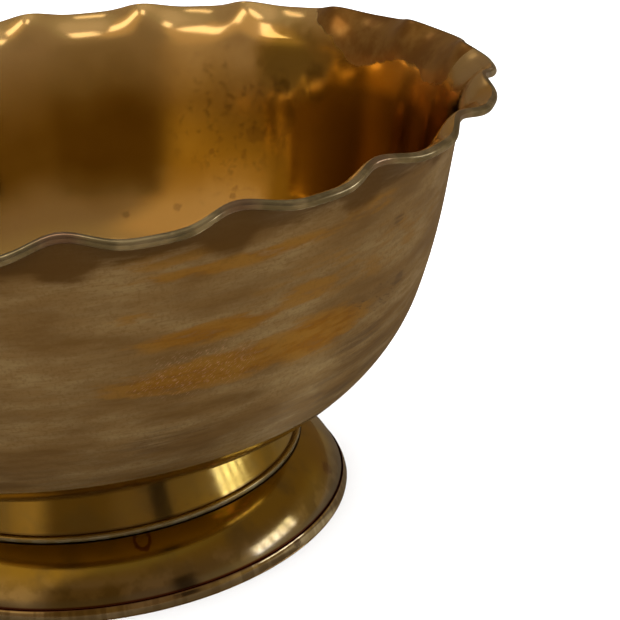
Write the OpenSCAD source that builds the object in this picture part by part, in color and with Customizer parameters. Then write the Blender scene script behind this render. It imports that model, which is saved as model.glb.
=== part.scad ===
// Brass bowl on a spun foot. The rim is crimped by hand into shallow lobes and its edge is curled
// outward over a wire. The foot is a collar, a flare and a base ring, drawn up by one central stud.
// Millimetres. The origin is the middle of the circle that the base ring stands on, with +Z up.

/* [Bowl profile] */
// Height of the outside of the bowl's flat middle
floor_z = 27.2; // [25:0.1:29]
// Radius of the flat middle
flat_r = 18; // [16:0.5:20]
// Radius of the shallow curve of the floor
floor_arc_r = 164; // [160:1:168]
// Slope where the floor curve ends
floor_arc_end = 16.8; // [16:0.1:17.5]
// Radius of the tight curve between floor and wall
turn_arc_r = 60.4; // [59:0.1:62]
// Slope where the tight curve ends
turn_arc_end = 67.4; // [66:0.1:69]
// Radius of the last curve, which eases into the straight wall
ease_arc_r = 188; // [180:1:196]
// Slope of the straight wall, from the horizontal
wall_slope = 76.3; // [75:0.1:77]
// Height at which the wall turns out into the lip
lip_z = 117; // [115:0.5:119]
// Radius of the lip's outward curve
lip_r = 15; // [12:0.5:17]
// How far the lip turns outward
lip_turn = 54; // [45:1:60]
// Thickness of the spun sheet
sheet = 0.8; // [0.7:0.1:0.9]

/* [Rim] */
// Number of lobes round the rim
lobes = 20; // [16:1:24]
// How far a lobe stands out from the mean circle
lobe_out = 2.5; // [0:0.1:3.5]
// How far a lobe dips below the mean height
lobe_dip = 1.5; // [0:0.1:2]
// Angle of the first lobe
first_lobe = -8; // [-18:0.5:18]
// How much sharper the crimps are than the lobes between them
crimp_sharpness = 0.24; // [0:0.01:0.3]
// How much deeper the lobes are on the deepest side, as a share
lobe_uneven = 0.28; // [0:0.01:0.4]
// Side on which the lobes are deepest
deepest_side = 163; // [0:1:359]
// How far the hand spacing drifts once round the rim, in degrees of one lobe
drift_once = 29; // [0:1:40]
// How far it drifts twice round the rim
drift_twice = 33; // [0:1:40]
// Sides at which the two drifts start
drift_once_from = -12; // [-180:1:180]
drift_twice_from = 15; // [-180:1:180]
// Height at which the crimping starts to show in the wall
crimp_z = 115; // [108:1:115]
// Diameter of the wire inside the curled edge
wire_d = 1.1; // [0.8:0.1:1.2]
// How far the edge is curled over the wire
curl_turn = 300; // [270:5:310]

/* [Foot] */
// Outer radius of the base ring
base_r = 76.1; // [75.8:0.1:78]
// Height of the base ring
base_h = 3.7; // [3.4:0.1:4.5]
// Width of the base ring's foot
base_w = 4.4; // [4:0.1:5]
// Slope of the base ring's face at its foot and at its top, measured from upright
ring_lean_low = 5; // [0:1:6]
ring_lean_high = 25; // [10:1:26]
// Radius of the groove between the flare and the base ring
groove_r = 74.7; // [73.5:0.1:74.8]
// Outer radius of the bead at the collar's lower edge
bead_r = 62.9; // [61:0.1:63.5]
// Height of the seam below the bead
seam_z = 17.6; // [17:0.1:19]
// Diameter of the bead
bead_d = 2.3; // [2:0.1:2.6]
// Outer radius of the collar where it meets the bowl
collar_top_r = 56; // [54:0.5:58]
// Slope of the flare at its top, from the horizontal
flare_top_slope = 30; // [25:1:36]
// Thickness of the foot's sheet
foot_sheet = 1.2; // [1:0.1:1.3]

/* [Fastening] */
// Diameter of the stud
stud_d = 6; // [5:0.5:6]
// Diameter of the boss under the bowl
boss_d = 28; // [24:1:30]
// Thickness of the boss
boss_h = 4; // [3:0.5:5]
// Diameter of the clamp washer
washer_d = 44; // [36:1:50]
// Thickness of the clamp washer
washer_t = 1.5; // [1:0.1:2]
// Width of the nut across its flats
nut_flats = 10; // [9:0.5:11]
// Height of the nut
nut_h = 5; // [4:0.5:5]

/* [Hidden] */
$fn = 180;

// Steps along the curves of the profile, and round the crimped zone
floor_steps = 6;
turn_steps = 12;
ease_steps = 4;
wall_steps = 2;
lip_steps = 4;
curl_steps = 7;
round_steps = 8 * lobes;
wire_sides = 6;
flare_steps = 12;
ring_steps = 4;

// Room that is left where one piece passes through another
clearance = 0.05;
hole_clearance = 0.4;
// Small edges, grooves and fillets
chamfer = 0.5;
edge_break = 0.3;
ring_top_break = 0.15;
groove_width = 0.35;
groove_depth = 0.5;
base_fillet_w = 1.2;
base_fillet_h = 0.6;
boss_fillet = 1.5;
// How the crimped zone is set into the turned wall below it
tongue_inset = 0.1;
tongue_depth = 1;

// Heights in the foot, from the ring's ledge up to the boss
ledge_z = base_h - 0.9;
web_z = seam_z - foot_sheet;
washer_z = web_z - washer_t;
nut_z = washer_z - nut_h;
stud_low_z = nut_z - 1.5;
stud_top_z = floor_z - 1;

// ---- The bowl's profile: a flat, three arcs, a straight wall, the lip and the curl ----

function arc_point(start, slope, radius, turn) =
    start + radius * [sin(slope + turn) - sin(slope), cos(slope) - cos(slope + turn)];

function arc_points(start, slope, radius, turn, steps) =
    [for (i = [1:steps]) arc_point(start, slope, radius, turn * i / steps)];

// One face of the sheet below the crimping; inward is how far the face lies inside the outer one
function floor_edge(inward) = [flat_r, floor_z + inward];
function floor_end(inward) =
    arc_point(floor_edge(inward), 0, floor_arc_r - inward, floor_arc_end);
function turn_end(inward) =
    arc_point(floor_end(inward), floor_arc_end, turn_arc_r - inward, turn_arc_end - floor_arc_end);
function ease_end(inward) =
    arc_point(turn_end(inward), turn_arc_end, ease_arc_r - inward, wall_slope - turn_arc_end);
function wall_point(inward, z) =
    let(foot = ease_end(inward)) [foot[0] + (z - foot[1]) / tan(wall_slope), z];

function lower_face(inward) = concat(
    [floor_edge(inward)],
    arc_points(floor_edge(inward), 0, floor_arc_r - inward, floor_arc_end, floor_steps),
    arc_points(floor_end(inward), floor_arc_end, turn_arc_r - inward,
        turn_arc_end - floor_arc_end, turn_steps),
    arc_points(turn_end(inward), turn_arc_end, ease_arc_r - inward,
        wall_slope - turn_arc_end, ease_steps),
    [wall_point(inward, crimp_z)]
);

// The same face above the crimping line: a tongue set into the wall below, then wall, lip and curl
function tongue(inward) = inward + (inward > sheet / 2 ? -tongue_inset : tongue_inset);
function lip_start(inward) =
    wall_point(0, lip_z) + inward * [-sin(wall_slope), cos(wall_slope)];
function lip_end(inward) = arc_point(lip_start(inward), wall_slope, -lip_r - inward, -lip_turn);
function upper_face(inward) = concat(
    [wall_point(tongue(inward), crimp_z - tongue_depth), wall_point(tongue(inward), crimp_z)],
    [for (i = [1:wall_steps - 1]) wall_point(inward, crimp_z + (lip_z - crimp_z) * i / wall_steps)],
    [lip_start(inward)],
    arc_points(lip_start(inward), wall_slope, -lip_r - inward, -lip_turn, lip_steps),
    arc_points(lip_end(inward), wall_slope - lip_turn, -wire_d / 2 - inward, -curl_turn, curl_steps)
);

lip_slope = wall_slope - lip_turn;
wire_centre = lip_end(0) + wire_d / 2 * [sin(lip_slope), -cos(lip_slope)];

// ---- The crimping: lobes that grow from the crimping line up to the lip's end ----

// How much of the lobes each point of a face takes: none at the line, all from the lip's end on
crimp_span = lip_end(0)[1] - crimp_z;
last_before_curl = wall_steps + lip_steps + 1;
function share_at(z) = pow(max(z - crimp_z, 0) / crimp_span, 2);
face_share = [
    for (i = [0:len(upper_face(0)) - 1])
        i > last_before_curl ? 1 : share_at(upper_face(0)[i][1])
];

function lobe(angle) =
    let(
        turn = lobes * (angle - first_lobe)
            - drift_once * sin(angle - drift_once_from)
            + drift_twice * sin(2 * (angle - drift_twice_from))
    )
    (1 + lobe_uneven * cos(angle - deepest_side)) * (cos(turn) - crimp_sharpness * cos(2 * turn));

function crimped(point, share, angle) =
    let(r = point[0] + share * lobe_out * lobe(angle))
    [r * cos(angle), r * sin(angle), point[1] - share * lobe_dip * lobe(angle)];

// A closed section carried round the bowl, with the lobes put in
module crimped_ring(section, share) {
    n = len(section);
    points = [
        for (k = [0:round_steps - 1], i = [0:n - 1])
            crimped(section[i], share[i], 360 * k / round_steps)
    ];
    function at(k, i) = (k % round_steps) * n + i % n;
    faces = [
        for (k = [0:round_steps - 1], i = [0:n - 1], half = [0, 1])
            half == 0
                ? [at(k, i), at(k, i + 1), at(k + 1, i + 1)]
                : [at(k, i), at(k + 1, i + 1), at(k + 1, i)]
    ];
    polyhedron(points, faces);
}

function reversed(list) = [for (i = [len(list) - 1:-1:0]) list[i]];

module bowl_shell() {
    color("#9a7432") {
        rotate_extrude()
            polygon(concat(
                [[0, floor_z]], lower_face(0), reversed(lower_face(sheet)), [[0, floor_z + sheet]]
            ));
        crimped_ring(
            concat(upper_face(0), reversed(upper_face(sheet))),
            concat(face_share, reversed(face_share))
        );
    }
}

module rim_wire() {
    circle_points = [
        for (i = [0:wire_sides - 1])
            let(around = 360 * i / wire_sides)
            wire_centre + (wire_d / 2 - clearance) * [cos(around), sin(around)]
    ];
    color("#b08a45")
        crimped_ring(circle_points, [for (p = circle_points) 1]);
}

// ---- The foot ----

// Height of the bowl's outside over the floor curve
function floor_curve_z(r) = floor_z + floor_arc_r * (1 - cos(asin((r - flat_r) / floor_arc_r)));

module neck_collar() {
    wall_r = bead_r - bead_d / 2;
    bead_z = seam_z + bead_d / 2;
    inner_top_r = collar_top_r - foot_sheet;
    color("#b98a2e")
        rotate_extrude() {
            translate([wall_r, bead_z]) circle(d = bead_d);
            polygon([
                [wall_r, seam_z],
                [wall_r, bead_z],
                [collar_top_r, floor_curve_z(collar_top_r)],
                [inner_top_r, floor_curve_z(inner_top_r)],
                [wall_r - foot_sheet, bead_z],
                [wall_r - foot_sheet, seam_z]
            ]);
        }
}

// The flare falls from the bead to the groove along one arc
flare_run = groove_r - bead_r;
flare_fall = seam_z - base_h;
flare_half_turn = atan2(flare_fall, flare_run) - flare_top_slope;
flare_low_slope = flare_top_slope + 2 * flare_half_turn;
flare_arc_r = norm([flare_run, flare_fall]) / 2 / sin(flare_half_turn);
flare_centre = [bead_r, seam_z] - flare_arc_r * [sin(flare_top_slope), cos(flare_top_slope)];

function flare_arc(radius, from_slope, to_slope) = [
    for (i = [0:flare_steps])
        let(slope = from_slope + (to_slope - from_slope) * i / flare_steps)
        flare_centre + radius * [sin(slope), cos(slope)]
];

module foot_flare() {
    hole_r = stud_d / 2 + hole_clearance;
    inner_r = flare_arc_r - foot_sheet;
    inner_top_slope = acos((web_z - flare_centre[1]) / inner_r);
    inner_low_slope = asin((groove_r - foot_sheet - flare_centre[0]) / inner_r);
    color("#a87c33")
        rotate_extrude()
            polygon(concat(
                [[hole_r, seam_z]],
                flare_arc(flare_arc_r, flare_top_slope, flare_low_slope),
                [[groove_r, ledge_z], [groove_r - foot_sheet, ledge_z]],
                flare_arc(inner_r, inner_low_slope, inner_top_slope),
                [[hole_r, web_z]]
            ));
}

// The base ring's face leans in a little more towards its top
ring_low = 90 + ring_lean_low;
ring_turn = ring_lean_high - ring_lean_low;
ring_arc_r = (base_h - edge_break - ring_top_break) / (cos(ring_low) - cos(ring_low + ring_turn));
ring_face = arc_points([base_r, edge_break], ring_low, ring_arc_r, ring_turn, ring_steps);

module base_ring() {
    inner_r = base_r - base_w;
    top_r = ring_face[ring_steps - 1][0] - ring_top_break;
    color("#b88d3c")
        rotate_extrude()
            polygon(concat(
                [[inner_r, 0], [base_r - edge_break, 0], [base_r, edge_break]],
                ring_face,
                [
                    [top_r, base_h],
                    [groove_r + groove_width, base_h],
                    [groove_r, base_h - groove_depth],
                    [groove_r, ledge_z],
                    [inner_r, ledge_z]
                ]
            ));
}

// A ring of solder with a three-cornered section
module solder_fillet(corner, across, up) {
    color("#a9a59a")
        rotate_extrude()
            polygon([corner, corner + [across, 0], corner + [0, up]]);
}

module base_solder() {
    solder_fillet([groove_r - foot_sheet, ledge_z], -base_fillet_w, base_fillet_h);
}

// ---- The fastening ----

module bottom_boss() {
    color("#a98436")
        rotate_extrude()
            polygon([
                [0, floor_z],
                [boss_d / 2, floor_z],
                [boss_d / 2, floor_z - boss_h + chamfer],
                [boss_d / 2 - chamfer, floor_z - boss_h],
                [stud_d / 2 + clearance, floor_z - boss_h],
                [stud_d / 2 + clearance, stud_top_z + clearance],
                [0, stud_top_z + clearance]
            ]);
}

module boss_solder() {
    solder_fillet([boss_d / 2, floor_z], boss_fillet, -boss_fillet);
}

module foot_stud() {
    color("#b3934f")
        rotate_extrude()
            polygon([
                [0, stud_low_z],
                [stud_d / 2 - chamfer, stud_low_z],
                [stud_d / 2, stud_low_z + chamfer],
                [stud_d / 2, stud_top_z],
                [0, stud_top_z]
            ]);
}

module clamp_washer() {
    color("#b3934f")
        translate([0, 0, washer_z])
            difference() {
                cylinder(d = washer_d, h = washer_t);
                translate([0, 0, -washer_t])
                    cylinder(d = stud_d + hole_clearance, h = 3 * washer_t);
            }
}

module hex_nut() {
    color("#b3934f")
        translate([0, 0, nut_z])
            difference() {
                cylinder(d = nut_flats / cos(30), h = nut_h, $fn = 6);
                translate([0, 0, -nut_h])
                    cylinder(d = stud_d + 2 * clearance, h = 3 * nut_h);
            }
}

bowl_shell();
rim_wire();
neck_collar();
foot_flare();
base_ring();
base_solder();
bottom_boss();
boss_solder();
foot_stud();
clamp_washer();
hex_nut();
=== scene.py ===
"""Looks for the brass footed bowl: smooth spun surfaces, worn brass, a pale floor and soft light.

The shapes repeat the profile of the CAD source in millimetres. Angles are in degrees, and an angle
round the bowl is counted from +X towards +Y, so the camera looks at the side near -90.
"""

from math import acos, asin, atan2, cos, degrees, hypot, pi, radians, sin, tan

import bpy
import numpy as np
from mathutils import Matrix, Vector, noise


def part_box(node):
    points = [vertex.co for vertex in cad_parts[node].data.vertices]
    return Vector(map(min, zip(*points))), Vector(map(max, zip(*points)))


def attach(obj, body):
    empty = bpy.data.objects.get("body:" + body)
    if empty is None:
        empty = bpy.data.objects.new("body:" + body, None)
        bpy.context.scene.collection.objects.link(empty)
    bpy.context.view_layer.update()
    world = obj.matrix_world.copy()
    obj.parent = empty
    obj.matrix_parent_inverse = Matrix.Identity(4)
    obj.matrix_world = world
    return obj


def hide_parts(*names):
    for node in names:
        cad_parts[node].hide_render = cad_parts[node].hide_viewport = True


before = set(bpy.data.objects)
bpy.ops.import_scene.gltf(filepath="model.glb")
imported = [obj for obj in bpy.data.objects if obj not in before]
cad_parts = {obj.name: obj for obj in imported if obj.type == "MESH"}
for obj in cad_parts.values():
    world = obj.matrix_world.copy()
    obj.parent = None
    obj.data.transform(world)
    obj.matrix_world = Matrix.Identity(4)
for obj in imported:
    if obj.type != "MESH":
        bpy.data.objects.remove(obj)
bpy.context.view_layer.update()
MM = 0.001

# ---- Sizes: heights and radii come from the CAD boxes, the profile repeats the CAD source ----


def node_height(node):
    """Lowest and highest height of a CAD node, in millimetres."""
    low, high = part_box(node)
    return low.z / MM, high.z / MM


def node_radius(node):
    """Largest radius of a CAD node that is round about the Z axis, in millimetres."""
    low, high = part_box(node)
    return max(high.x, high.y, -low.x, -low.y) / MM


SHEET = 0.8
FLAT_R = 18
FLOOR_Z = node_height("bowl_shell")[0]
# Radius, turn and number of steps of each arc from the floor's flat to the straight wall
BOWL_ARCS = ((164, 16.8, 12), (60.4, 50.6, 30), (188, 8.9, 10))
WALL_STEPS = 16
LIP_Z = 117
LIP_R = 15
LIP_TURN = 54
LIP_STEPS = 12
WIRE_R = 0.55
CURL_TURN = 300
CURL_STEPS = 18
ROUND_STEPS = 480
# The wire is drawn this much thinner than the curl round it
WIRE_GAP = 0.05
WIRE_STEPS = 24

# Edges that turn more than this are drawn sharp
SHARP_ANGLE = 35

# The bowl's materials, by their places in its list
OUTSIDE, INSIDE, ROLLED_EDGE = range(3)

LOBES = 20
LOBE_START = 8
LOBE_OUT = 2.5
LOBE_DIP = 1.44
# Uneven spacing of the lobes: shift in degrees, waves in one turn, and where the wave starts
LOBE_SHIFTS = ((-29, 1, 12), (33, 2, -30))
# How much the depth of the lobes varies, where they are deepest, and how much sharper crimps are
LOBE_UNEVEN = 0.28
DEEPEST_LOBE = 163
CRIMP_SHARPNESS = 0.24
CRIMP_Z = 115
# The name and the greatest value of the stored depth of the crimps
CRIMP = "crimp"
CRIMP_MOST = 1.5
# The CAD's rim has coarser facets, so the finer rim is drawn this much smaller to stay in its box
RIM_FIT = 0.9985

SEAM_Z = node_height("neck_collar")[0]
BEAD_R = node_radius("neck_collar")
BEAD_D = 2.3
BEAD_STEPS = 40
COLLAR_TOP_R = 56
COLLAR_STEPS = 12
FOOT_SHEET = 1.2
FLARE_TOP_SLOPE = 30
FLARE_STEPS = 60
FLARE_INNER_STEPS = 40
BASE_R = node_radius("base_ring")
BASE_H = node_height("base_ring")[1]
BASE_W = 4.4
RING_LEAN = 5
RING_TURN = 20
RING_STEPS = 12
RING_EDGE = 0.3
RING_TOP_EDGE = 0.15
RING_INNER_EDGE = 0.2
GROOVE_R = node_radius("foot_flare")
GROOVE_WIDTH = 0.35
GROOVE_DEPTH = 0.5
# Rounding of the groove's corners and of the finest corners beside it, and steps in each corner
GROOVE_LIP = 0.03
GROOVE_FLOOR_EDGE = 0.1
HAIR_EDGE = 0.05
CORNER_STEPS = 3
LEDGE_Z = node_height("foot_flare")[0]

STUD_R = 3
STUD_HOLE_R = 3.4
BORE_R = 3.05
THREAD_PITCH = 1
THREAD_DEPTH = 0.3
STUD_END = 0.5
STUD_STEPS = 72
STUD_ROWS_PER_MM = 12
BOSS_R = node_radius("bottom_boss")
BOSS_EDGE = 0.6
# A turned groove on the face of the boss: its place as a share of the radius, half width and depth
BOSS_GROOVE_AT = 0.65
BOSS_GROOVE_HALF = 0.4
BOSS_GROOVE_DEPTH = 0.3
TURNED_EDGE = 0.1
BORE_EDGE = 0.2
# The hole in the boss stops this far below the bowl
BORE_TOP_GAP = 0.95
# The boss's section starts just beside the axis
AXIS_R = 0.01
WASHER_R = node_radius("clamp_washer")
WASHER_HOLE_R = 3.2
WASHER_EDGE = 0.5
WASHER_HOLE_EDGE = 0.25
WASHER_CORNER_STEPS = 5
NUT_FLATS = 10
NUT_STEPS = 96
NUT_SHARP_ANGLE = 25
# The nut's corners are turned off to this share of its flats, on a cone of this slope, and its
# side has rows of points at these distances from each end
NUT_CONE_START = 0.95
NUT_CONE_SLOPE = 1.73
NUT_ROWS = (0, 0.15, 0.3, 0.45, 0.65)

# A fillet's face: its steps, how hollow it is, its mean reach as a share of its size, how much that
# varies, and the size of the waves in it
FILLET_STEPS = 8
FILLET_HOLLOW = 0.25
FILLET_REACH = 0.86
FILLET_UNEVEN = 0.14
FILLET_WAVE = 4

# ---- Camera ----

CAMERA_AT = (0, -0.48266, 0.24939)
CAMERA_PAN = radians(-8.23)
CAMERA_TILT = radians(67.96)
CAMERA_ROLL = radians(-5.25)
LENS = 97.85
SENSOR = 36


def new_object(name, data):
    made = bpy.data.objects.new(name, data)
    bpy.context.scene.collection.objects.link(made)
    return made


def make_camera():
    data = bpy.data.cameras.new("camera")
    data.sensor_width = SENSOR
    data.lens = LENS
    camera = new_object("camera", data)
    camera.matrix_world = (
        Matrix.Translation(CAMERA_AT)
        @ Matrix.Rotation(CAMERA_PAN, 4, "Z")
        @ Matrix.Rotation(CAMERA_TILT, 4, "X")
        @ Matrix.Rotation(CAMERA_ROLL, 4, "Z")
    )
    bpy.context.scene.camera = camera


# ---- Profiles: lists of (radius, height) ----


def arc(start, slope, radius, turn, steps):
    """Points after start on an arc that leaves start at slope and bends by turn."""
    a = radians(slope)
    points = []
    for i in range(1, steps + 1):
        b = a + radians(turn) * i / steps
        across = radius * (sin(b) - sin(a))
        up = radius * (cos(a) - cos(b))
        points.append((start[0] + across, start[1] + up))
    return points


def line(start, end, steps):
    """Points after start on a straight line to end."""
    return [
        (start[0] + (end[0] - start[0]) * i / steps, start[1] + (end[1] - start[1]) * i / steps)
        for i in range(1, steps + 1)
    ]


def bowl_curve(inward):
    """One face of the sheet from the flat's edge to the straight wall, and the slope it ends on."""
    points = [(FLAT_R, FLOOR_Z + inward)]
    slope = 0
    for radius, turn, steps in BOWL_ARCS:
        points += arc(points[-1], slope, radius - inward, turn, steps)
        slope += turn
    return points, slope


def bowl_face(inward):
    """The whole face: from the axis over floor, wall and lip to the end of the curled edge."""
    curve, slope = bowl_curve(inward)
    outer_end = bowl_curve(0)[0][-1]
    tilt = radians(slope)
    lip_r = outer_end[0] + (LIP_Z - outer_end[1]) / tan(tilt)
    lip_start = (lip_r - inward * sin(tilt), LIP_Z + inward * cos(tilt))
    wall = line(curve[-1], lip_start, WALL_STEPS)
    lip = arc(lip_start, slope, -LIP_R - inward, -LIP_TURN, LIP_STEPS)
    curl = arc(lip[-1], slope - LIP_TURN, -WIRE_R - inward, -CURL_TURN, CURL_STEPS)
    return [(0, FLOOR_Z + inward)] + curve + wall + lip + curl


def around(centre, radius, first, last, steps):
    """Points on a circle, at angles counted from straight up towards the outside."""
    turns = np.radians(np.linspace(first, last, steps + 1))
    return [(centre[0] + radius * sin(t), centre[1] + radius * cos(t)) for t in turns]


def softened(corners, steps=CORNER_STEPS):
    """Rounds each corner (radius, height, size) of a closed section over its size."""
    points = []
    for i, (radius, height, size) in enumerate(corners):
        here = np.array((radius, height))
        before = np.array(corners[i - 1][:2]) - here
        after = np.array(corners[(i + 1) % len(corners)][:2]) - here
        first = here + before * size / np.linalg.norm(before)
        last = here + after * size / np.linalg.norm(after)
        for t in np.linspace(0, 1, steps + 1):
            points.append((1 - t) ** 2 * first + 2 * t * (1 - t) * here + t * t * last)
    return points


def lobe(angle):
    """The hand-crimped wave round the rim: 1 on a lobe, below -1 in a crimp."""
    turn = LOBES * (angle + LOBE_START)
    for shift, waves, start in LOBE_SHIFTS:
        turn = turn + shift * np.sin(np.radians(waves * angle + start))
    turn = np.radians(turn)
    depth = 1 + LOBE_UNEVEN * np.cos(np.radians(angle - DEEPEST_LOBE))
    return depth * (np.cos(turn) - CRIMP_SHARPNESS * np.cos(2 * turn))


# ---- Meshes ----


def turned_grid(radius, height, steps):
    """Points of rows of radii and heights, one row for each step round the axis."""
    turn = np.radians(np.arange(steps) * 360 / steps)[:, None]
    return np.stack([radius * np.cos(turn), radius * np.sin(turn), height + 0 * turn], -1)


def mesh_object(name, points, faces, sharp_angle):
    mesh = bpy.data.meshes.new(name)
    mesh.from_pydata((np.array(points) * MM).tolist(), [], faces)
    mesh.validate()
    mesh.shade_smooth()
    mesh.set_sharp_from_angle(angle=radians(sharp_angle))
    return new_object(name, mesh)


def turned(name, grid, closed=True, sharp_angle=SHARP_ANGLE):
    """A piece from a turned grid. Rows that aren't closed start and end on the axis."""
    steps, count = grid.shape[:2]
    first, last = (0, count) if closed else (1, count - 1)
    width = last - first
    points = grid[:, first:last].reshape(-1, 3).tolist()
    faces = []
    for k in range(steps):
        a, b = k * width, (k + 1) % steps * width
        for i in range(width if closed else width - 1):
            j = (i + 1) % width
            faces.append((a + i, b + i, b + j, a + j))
    if not closed:
        points += [grid[0, 0].tolist(), grid[0, -1].tolist()]
        low, high = len(points) - 2, len(points) - 1
        for k in range(steps):
            a, b = k * width, (k + 1) % steps * width
            faces.append((low, b, a))
            faces.append((high, a + width - 1, b + width - 1))
    return mesh_object(name, points, faces, sharp_angle)


def spun(name, section):
    """A closed section of (radius, height) points turned round the axis."""
    radius, height = np.array(section, float).T
    return turned(name, turned_grid(radius[None], height[None], ROUND_STEPS))


def crimped(name, section, share, closed=True):
    """A spun section with the rim's lobes put in. share says how much of them each point takes."""
    radius, height = np.array(section, float).T
    angle = np.arange(ROUND_STEPS) * 360 / ROUND_STEPS
    wave = lobe(angle)[:, None] * np.array(share)[None]
    radius = (radius + wave * LOBE_OUT) * RIM_FIT
    grid = turned_grid(radius, height - wave * LOBE_DIP, ROUND_STEPS)
    return turned(name, grid, closed)


def place(piece, node, slot, *materials):
    """Lets a piece stand for a CAD node, with its own materials. slot is not used."""
    for material in materials:
        piece.data.materials.append(material)
    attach(piece, "root")
    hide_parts(node)


def mark_crimps(piece):
    """Stores at each point how deep it lies in a crimp of the rim, for the darker colour there,
    partly painted shade.
    """
    points = np.zeros(len(piece.data.vertices) * 3)
    piece.data.vertices.foreach_get("co", points)
    x, y, _ = points.reshape(-1, 3).T
    wave = lobe(np.degrees(np.arctan2(y, x)))
    attribute = piece.data.attributes.new(CRIMP, "FLOAT", "POINT")
    attribute.data.foreach_set("value", np.clip(-wave, 0, CRIMP_MOST).astype(np.float32))


def make_bowl(outside, inside, bead):
    outer = bowl_face(0)
    inner = bowl_face(SHEET)
    heights = np.array(outer)[:, 1]
    lip_end = len(outer) - CURL_STEPS
    span = heights[lip_end - 1] - CRIMP_Z
    share = np.clip((heights - CRIMP_Z) / span, 0, 1) ** 2
    share[lip_end:] = 1
    section = outer + inner[::-1]
    shares = np.concatenate([share, share[::-1]])
    piece = crimped("bowl", section, shares, closed=False)
    place(piece, "bowl_shell", "bowl_brass", outside, inside, bead)
    colour_bowl_faces(piece, len(outer), lip_end)
    mark_crimps(piece)


def colour_bowl_faces(piece, face_points, lip_end):
    """Gives each face of the bowl its material, up the outside, over the edge and down the inside."""
    count = 2 * face_points - 2
    column = np.full(count - 1, OUTSIDE)
    column[lip_end - 2:] = ROLLED_EDGE
    column[count - lip_end:] = INSIDE
    index = np.tile(column, ROUND_STEPS).tolist() + [OUTSIDE, INSIDE] * ROUND_STEPS
    piece.data.polygons.foreach_set("material_index", index)


def make_rim_wire(material):
    lip_end = bowl_face(0)[-CURL_STEPS - 1]
    slope = radians(sum(turn for _, turn, _ in BOWL_ARCS) - LIP_TURN)
    centre = (lip_end[0] + WIRE_R * sin(slope), lip_end[1] - WIRE_R * cos(slope))
    section = around(centre, WIRE_R - WIRE_GAP, 360, 0, WIRE_STEPS)[:-1]
    piece = crimped("wire", section, np.ones(WIRE_STEPS))
    place(piece, "rim_wire", "wire_brass", material)


def bowl_underside(radius):
    """Height of the bowl's outside over the first arc of its floor."""
    reach = BOWL_ARCS[0][0]
    return FLOOR_Z + reach * (1 - cos(asin((radius - FLAT_R) / reach)))


def make_collar(material):
    """The drum under the bowl, with its bead rolled at the lower edge."""
    centre = (BEAD_R - BEAD_D / 2, SEAM_Z + BEAD_D / 2)
    top = (COLLAR_TOP_R, bowl_underside(COLLAR_TOP_R))
    inner_top_r = COLLAR_TOP_R - FOOT_SHEET
    bead_turn = degrees(atan2(top[0] - centre[0], top[1] - centre[1]))
    bead = around(centre, BEAD_D / 2, 180, bead_turn, BEAD_STEPS)
    section = [(centre[0] - FOOT_SHEET, SEAM_Z)] + bead + line(bead[-1], top, COLLAR_STEPS)
    section += [(inner_top_r, bowl_underside(inner_top_r)), (centre[0] - FOOT_SHEET, centre[1])]
    place(spun("collar", section), "neck_collar", "collar_brass", material)


def make_flare(material):
    """The sloping foot, an arc from the bead to the groove, and its flat web inside the collar."""
    run, fall = GROOVE_R - BEAD_R, SEAM_Z - BASE_H
    half_turn = degrees(atan2(fall, run)) - FLARE_TOP_SLOPE
    low_slope = FLARE_TOP_SLOPE + 2 * half_turn
    reach = hypot(run, fall) / 2 / sin(radians(half_turn))
    top = radians(FLARE_TOP_SLOPE)
    centre = (BEAD_R - reach * sin(top), SEAM_Z - reach * cos(top))
    inner = reach - FOOT_SHEET
    web_z = SEAM_Z - FOOT_SHEET
    inner_top = degrees(acos((web_z - centre[1]) / inner))
    inner_low = degrees(asin((GROOVE_R - FOOT_SHEET - centre[0]) / inner))
    section = [(STUD_HOLE_R, web_z)]
    section += around(centre, inner, inner_top, inner_low, FLARE_INNER_STEPS)
    section += [(GROOVE_R - FOOT_SHEET, LEDGE_Z), (GROOVE_R, LEDGE_Z)]
    section += around(centre, reach, low_slope, FLARE_TOP_SLOPE, FLARE_STEPS)
    section += [(STUD_HOLE_R, SEAM_Z)]
    place(spun("flare", section), "foot_flare", "flare_brass", material)


def make_base_ring(material):
    """The leaning band. Its foot's third corner only aims the roundings of the first two."""
    low = 90 + RING_LEAN
    fall = cos(radians(low)) - cos(radians(low + RING_TURN))
    reach = (BASE_H - RING_EDGE - RING_TOP_EDGE) / fall
    face = arc((BASE_R, RING_EDGE), low, reach, RING_TURN, RING_STEPS)
    inner_r = BASE_R - BASE_W
    above_foot = (inner_r, LEDGE_Z, RING_INNER_EDGE)
    corners = softened([(inner_r, 0, RING_INNER_EDGE), (BASE_R, 0, RING_EDGE), above_foot])
    foot = corners[:2 * (CORNER_STEPS + 1)]
    top = softened([
        (face[-1][0], face[-1][1], HAIR_EDGE),
        (face[-1][0] - RING_TOP_EDGE, BASE_H, HAIR_EDGE),
        (GROOVE_R + GROOVE_WIDTH, BASE_H, GROOVE_LIP),
        (GROOVE_R, BASE_H - GROOVE_DEPTH, GROOVE_FLOOR_EDGE),
        (GROOVE_R, LEDGE_Z, HAIR_EDGE),
        above_foot,
    ])
    section = foot + face[:-1] + top
    place(spun("ring", section), "base_ring", "ring_brass", material)


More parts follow.
